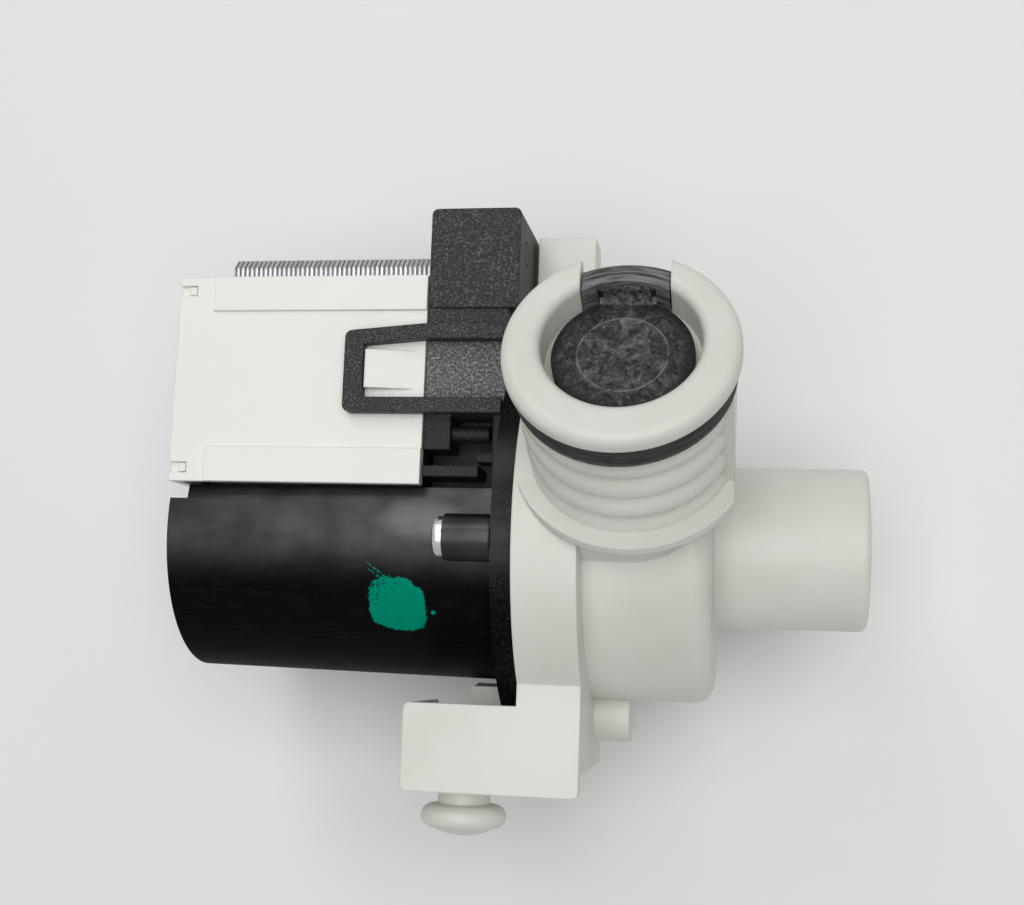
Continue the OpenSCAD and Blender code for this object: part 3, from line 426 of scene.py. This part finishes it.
# %% [markdown]
# The flap is rubber. Talc from the mould and dried water leave a grey bloom on it, in smears and in a fine
# mottle, with small white crumbs. A circle round its raised disc and a dot in the middle, where the mould
# was joined, have worn pale. A drawn texture would have to be laid on the slanting flap with care.
# Distances from the mouth's leaning axis give the circle and the dot wherever the port stands.

# %% Flap rubber
LEAN = math.radians(25.8)
PORT_X = -13.9
MOUTH_SHIFT = 1.0
CIRCLE_RADIUS, DOT_RADIUS = 7.5, 0.6
DISC_IN, DISC_OUT, BLOOM_IN, BLOOM_OUT = 7.0, 8.2, 9.0, 11.6
LEAF_FROM, LEAF_HALF = 10.4, 4.5


def port_place(skin, shift):
    """How far a point is sideways, towards the notch, out from the axis and up along it, in millimetres.
    The axis leans as the port does, and it is moved towards the notch by shift."""
    x, y, z = skin.axes()
    side = x - PORT_X
    across = y * math.cos(LEAN) - z * math.sin(LEAN) - shift
    up = y * math.sin(LEAN) + z * math.cos(LEAN)
    return side, across, (side * side + across * across) ** 0.5, up


def flap_finish():
    skin = Finish("flap_rubber", IOR=1.46, Specular_IOR_Level=0.22)
    side, across, out, _ = port_place(skin, MOUTH_SHIFT)
    smears = skin.noise(0.26, 5.0, 0.7, distortion=1.6).ramp(0.42, 0.74)
    mottle = skin.noise(1.0, 4.0, 0.8).ramp(0.34, 0.70)
    crumbs = skin.noise(2.0, 3.0, 0.75).ramp(0.56, 0.70)
    wear_and_painted_light = (1 - out.ramp(BLOOM_IN, BLOOM_OUT)) * 0.7 + (1 - out.ramp(DISC_IN, DISC_OUT)) * 0.3
    bloom = (smears * 0.75 + mottle * 0.35) * (0.15 + wear_and_painted_light * 0.85)
    colour = skin.tint(bloom, (0.006, 0.0062, 0.0064, 1), (0.150, 0.153, 0.157, 1))
    colour = skin.tint(crumbs * (0.10 + smears * 0.6) * wear_and_painted_light, colour, (0.46, 0.47, 0.475, 1))
    circle = (1 - abs(out - CIRCLE_RADIUS).ramp(0.05, 0.32)) * skin.noise(0.7, 4.0, 0.7).ramp(0.25, 0.6)
    line = circle.larger((1 - abs(out - DOT_RADIUS).ramp(0.05, 0.25)) * 0.4)
    colour = skin.tint(line * 0.6, colour, (0.26, 0.27, 0.275, 1))
    # Painted light: the hinge leaf between the slits lies in shade, and its colour is lifted to the tab's
    # streaked grey.
    leaf_painted_light = across.ramp(LEAF_FROM, LEAF_FROM + 0.5) * (1 - abs(side).ramp(LEAF_HALF, LEAF_HALF + 0.2))
    colour = skin.tint(leaf_painted_light * mottle * 0.8, colour, (0.200, 0.203, 0.207, 1))
    height = mottle * 0.5 + smears * 0.6 + line * 0.4
    return skin.done(colour, 0.6 + smears * 0.2, height, depth=0.10, edge=0.3)


flap_rubber = flap_finish()

# %% [markdown]
# The seal is the same rubber, cut on a lathe: its tab is streaked with fine arcs that run round the port.
# Noise gives such streaks when its place is measured in turns: closely spaced outwards and upwards,
# and drawn out along the arc. The ring below sits in its groove and stays darker, with a chalky lower edge.

# %% Seal rubber
GROOVE_TOP, RING_LOW, OTHER_SEALS_BELOW = 61.7, 56.5, 50.0
TAB_RADIUS = 15.6


def seal_finish():
    skin = Finish("seal_rubber", IOR=1.46, Specular_IOR_Level=0.22)
    side, across, out, up = port_place(skin, 0.0)
    turn = side.angle(across)
    arcs = skin.node("ShaderNodeCombineXYZ", None, {0: out * 1.7, 1: up * 1.7, 2: turn * 2.2})
    streaks = skin.noise(1.0, 3.0, 0.65, arcs)
    tab = up.ramp(GROOVE_TOP, GROOVE_TOP + 0.2).larger(1 - out.ramp(TAB_RADIUS, TAB_RADIUS + 0.3))
    lower_edge = 1 - (up - RING_LOW).ramp(0.1, 1.0)
    chalk = lower_edge * (1 - tab) * up.ramp(OTHER_SEALS_BELOW, OTHER_SEALS_BELOW + 1)
    pale_streaks = streaks.ramp(0.30, 0.70) * (0.22 + tab * 0.78)
    colour = skin.tint(pale_streaks, (0.018, 0.0185, 0.018, 1), (0.215, 0.218, 0.222, 1))
    chalk = chalk * skin.noise(0.6, 4.0, 0.7).ramp(0.35, 0.6)
    colour = skin.tint(chalk * 0.6, colour, (0.16, 0.16, 0.15, 1))
    height = streaks + skin.noise(2.2, 2.0) * 0.3
    return skin.done(colour, 0.62 + streaks * 0.2, height, depth=0.12, edge=0.3)


seal_rubber = seal_finish()

# %% [markdown]
# The metals differ mostly in colour and in how the light is spread. Zinc on the screw is bright with a fine
# cloud, sheet steel is greyer, enamelled copper is warm and glossy, sintered bronze is dull and porous,
# and the magnet is a black ceramic that barely shines. One function makes them all from two tones.

# %% Metals and ceramic
def metal(name, dark, light, metallic, rough, grain, **fixed):
    """A metal with two tones, and a roughness that follows the same clouds."""
    skin = Finish(name, Metallic=metallic, **fixed)
    clouds = skin.noise(grain, 3.0, 0.6)
    colour = skin.tint(clouds.ramp(0.3, 0.7), dark, light)
    return skin.done(colour, rough + clouds * 0.16, skin.noise(grain * 6, 2.0), depth=0.01, edge=0.15)


zinc = metal("zinc", (0.52, 0.53, 0.54, 1), (0.70, 0.70, 0.68, 1), 1.0, 0.16, 0.6)
sheet = metal("sheet_steel", (0.26, 0.27, 0.28, 1), (0.42, 0.43, 0.44, 1), 1.0, 0.28, 0.4)
copper = metal("enamelled_copper", (0.36, 0.12, 0.040, 1), (0.50, 0.19, 0.070, 1), 1.0, 0.22, 0.8,
               Coat_Weight=0.4)
bronze = metal("sintered_bronze", (0.24, 0.15, 0.060, 1), (0.36, 0.24, 0.10, 1), 1.0, 0.40, 1.5)
ferrite = metal("magnet_ferrite", (0.014, 0.014, 0.015, 1), (0.030, 0.030, 0.032, 1), 0.0, 0.52, 0.7)

# %% [markdown]
# The stack is cut from thin sheets, and on the real pump the edge of every sheet shows as a fine ridge.
# Modelling forty sheets as solids would be wasteful, so a skin lies over the bare part of the stack:
# the outline round the yoke is carried along the motor axis, and its height is a row of half sines.

# %% A grid of points becomes a piece
def grid_piece(name, points, finish, closed=False):
    """A mesh of quads from rows by columns of points, in millimetres. A closed one joins up both ways."""
    rows, columns = points.shape[:2]
    number = np.arange(rows * columns).reshape(rows, columns)
    if closed:
        number = np.pad(number, (0, 1), mode="wrap")
    corners = [number[:-1, :-1], number[1:, :-1], number[1:, 1:], number[:-1, 1:]]
    quads = np.stack(corners, axis=-1).reshape(-1, 4)
    mesh = bpy.data.meshes.new(name)
    mesh.from_pydata((points.reshape(-1, 3) * MM).tolist(), [], quads.tolist())
    mesh.shade_smooth()
    mesh.materials.append(finish)
    piece = bpy.data.objects.new(name, mesh)
    bpy.context.scene.collection.objects.link(piece)
    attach(piece, "pump_body")
    print("piece:", name, "faces:", len(quads))
    return piece


# %% Finish of the sheet edges
SHEET = 0.95


def sheet_edge_finish():
    """Steel whose tone follows the ridges: dark between the sheets, and each sheet a little different."""
    skin = Finish("sheet_edges", Metallic=1.0)
    x = skin.axes()[0]
    ridge = abs((x * (math.pi / SHEET)).sine())
    sheets = skin.noise(0.9, 1.0, 0.5, skin.stretched((1.0, 0.02, 0.02)))
    colour = skin.tint(ridge.ramp(0.25, 0.75), (0.07, 0.073, 0.076, 1), (0.55, 0.56, 0.575, 1))
    colour = skin.tint(sheets.ramp(0.35, 0.65) * 0.55, colour, (0.28, 0.29, 0.30, 1))
    return skin.done(colour, 0.30 + skin.noise(1.2, 3.0) * 0.2, skin.noise(3.0, 2.0), depth=0.015, edge=0.1)


edge_steel = sheet_edge_finish()

# %% Sheet edges of the stack
BARE_FROM, STACK_BEVEL, STACK_INSET = 46.6, 2.0, 0.02
RIDGE_FOOT, RIDGE, RIDGE_SHARPNESS, END_DIP = 0.04, 0.20, 0.6, 0.4
SIDE_STEPS, STACK_STEPS = 9, 480


def points_of(mesh):
    """The corner points of a mesh as an array, in millimetres."""
    flat = np.empty(3 * len(mesh.vertices))
    mesh.vertices.foreach_get("co", flat)
    return flat.reshape(-1, 3) / MM


def sheet_edges():
    """The first parameter goes along the stack, the second round the yoke's outline. A ridge of half a sine
    stands out from the outline at every sheet, and the ends of the strip dip into the solid."""
    low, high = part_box("stator_core")
    stack_points = points_of(nodes["stator_core"].data)
    side, top = stack_points[stack_points[:, 1] > BARE_FROM, 2].max(), high.y / MM
    corners = np.array([(BARE_FROM, side), (top - STACK_BEVEL, side), (top, side - STACK_BEVEL),
                        (top, STACK_BEVEL - side), (top - STACK_BEVEL, -side), (BARE_FROM, -side)])
    edges = np.diff(corners, axis=0)
    outward = edges[:, ::-1] * (-1, 1) / np.hypot(*edges.T)[:, None]
    share = np.linspace(0, 1, SIDE_STEPS)[:, None]
    outline = (corners[:-1, None] + edges[:, None] * share).reshape(-1, 2)
    normals = np.repeat(outward, SIDE_STEPS, axis=0)
    along = np.linspace(low.x / MM + STACK_INSET, high.x / MM - STACK_INSET, STACK_STEPS)
    height = RIDGE_FOOT + RIDGE * np.abs(np.sin(np.pi * along / SHEET)) ** RIDGE_SHARPNESS
    height[[0, -1]] = -END_DIP
    points = np.empty((along.size, len(outline), 3))
    points[..., 0] = along[:, None]
    points[..., 1:] = outline + normals * height[:, None, None]
    return points


grid_piece("stack_sheet_edges", sheet_edges(), edge_steel)

# %% [markdown]
# Each winding is one solid in the model, so its turns are made here as a ring that closes both ways.
# A wire could be coiled turn by turn, but that is a mesh of great length that a cover hides.
# One parameter runs round the leg, along straight sides and round corners, and the other runs round the
# ring's own section, where the outer side is a row of wires. The ring takes the place of the plain solid.

# %% Windings
WIRE, WIRE_RELIEF, WIRE_FULLNESS = 0.62, 0.22, 0.7
WINDING_DEPTH, WINDING_BEND, WINDING_INSET = 3.1, 0.4, 0.05
CORNERS = [(1, 1), (-1, 1), (-1, -1), (1, -1)]
CORNER_STEPS, WINDING_STEPS = 17, 201


def winding_turns(node):
    """A point on the ring is a corner's centre plus the corner's outward direction times the distance from
    the leg. That is small on the inside, and on the outside a row of half sines, one for each turn."""
    low, high = (np.array(corner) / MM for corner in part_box(node))
    quarter = np.linspace(0, np.pi / 2, CORNER_STEPS)
    turn = (np.pi / 2 * np.arange(len(CORNERS))[:, None] + quarter).ravel()
    direction = np.stack([np.cos(turn), np.sin(turn)], axis=-1)
    middle = (low + high)[[0, 2]] / 2
    half = (high - low)[[0, 2]] / 2 - WINDING_DEPTH - WINDING_BEND
    centre = middle + half * np.repeat(CORNERS, CORNER_STEPS, axis=0)
    height = np.linspace(low[1] + WINDING_INSET, high[1] - WINDING_INSET, WINDING_STEPS)
    wires = np.abs(np.sin(np.pi * (height - height[0]) / WIRE)) ** WIRE_FULLNESS
    outside = WINDING_BEND + WINDING_DEPTH - WIRE_RELIEF * (1 - wires)
    row = np.stack([height, outside], axis=-1)
    section = np.concatenate([[(height[0], WINDING_BEND)], row, [(height[-1], WINDING_BEND)]])
    points = np.empty((len(section), turn.size, 3))
    points[..., [0, 2]] = centre + direction * section[:, 1][:, None, None]
    points[..., 1] = section[:, 0][:, None]
    return points


for node in ("winding_upper", "winding_lower"):
    turns = grid_piece(node + "_turns", winding_turns(node), copper, closed=True)
    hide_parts(node)

# %% [markdown]
# Every solid now gets its finish. A table from finish to pieces reads like a parts list,
# and whatever is missing from it stops the script, so no piece keeps the grey it arrived with.

# %% Give each solid its finish
parts_list = [
    (casing, "volute_housing impeller impeller_cap mount_foot"),
    (cover, "coil_cover bobbin_upper bobbin_lower rotor_hub"),
    (shell, "motor_housing bearing_carrier drive_dog"),
    (filled, "terminal_frame"),
    (flap_rubber, "valve_flap"),
    (seal_rubber, "outlet_seal rear_bush_mount shaft_seal chamber_seal"),
    (zinc, "flange_screw terminals rotor_shaft shaft_clip front_thrust_washer rear_thrust_washer"),
    (sheet, "stator_core"),
    (copper, "winding_upper winding_lower"),
    (bronze, "front_bush rear_bush"),
    (ferrite, "rotor_magnet"),
]
dressed = {name: finish for finish, names in parts_list for name in names.split()}
for name, solid in nodes.items():
    solid.data.materials.clear()
    solid.data.materials.append(dressed[name])
print("solids dressed:", len(dressed))

# %% [markdown]
# The table is matt and nearly white, one large square just under the pump.
# Far from the pump the lamps no longer reach it and it would end in a dark edge,
# so there its surface gives way, for camera rays only, to the same pale tone as the wall behind it.

# %% Table
TABLE_GAP, TABLE_REACH = 0.2 * MM, 4.0
table_height = solid_low.z - TABLE_GAP
table = bpy.data.meshes.new("table")
table_corners = [(x * TABLE_REACH, y * TABLE_REACH, table_height) for x, y in CORNERS]
table.from_pydata(table_corners, [], [(0, 1, 2, 3)])
floor = bpy.data.objects.new("table", table)
bpy.context.scene.collection.objects.link(floor)
print("table height in mm:", round(table_height / MM, 1))

# %% Table top
NEAR, FAR = 400.0, 1000.0
pale = Finish("pale_table", IOR=1.4)
x, y, _ = pale.axes()
table_tone = pale.tint(pale.noise(0.01), (0.80, 0.80, 0.795, 1), (0.83, 0.83, 0.825, 1))
floor.data.materials.append(pale.done(table_tone, 0.6 + pale.noise(0.05) * 0.1))
distant = ((x * x + y * y) ** 0.5).ramp(NEAR, FAR) * pale.node("ShaderNodeLightPath", out="Is Camera Ray")
wall_tone = pale.node("ShaderNodeEmission", None, {"Color": WALL_TONE})
table_skin = Wire(pale, pale.shader.outputs[0])
blend = pale.node("ShaderNodeMixShader", None, {0: distant, 1: table_skin, 2: wall_tone})
pale.tree.links.new(blend.socket, pale.tree.nodes["Material Output"].inputs["Surface"])
print("table gives way to the wall from", NEAR, "to", FAR, "mm")

# %% [markdown]
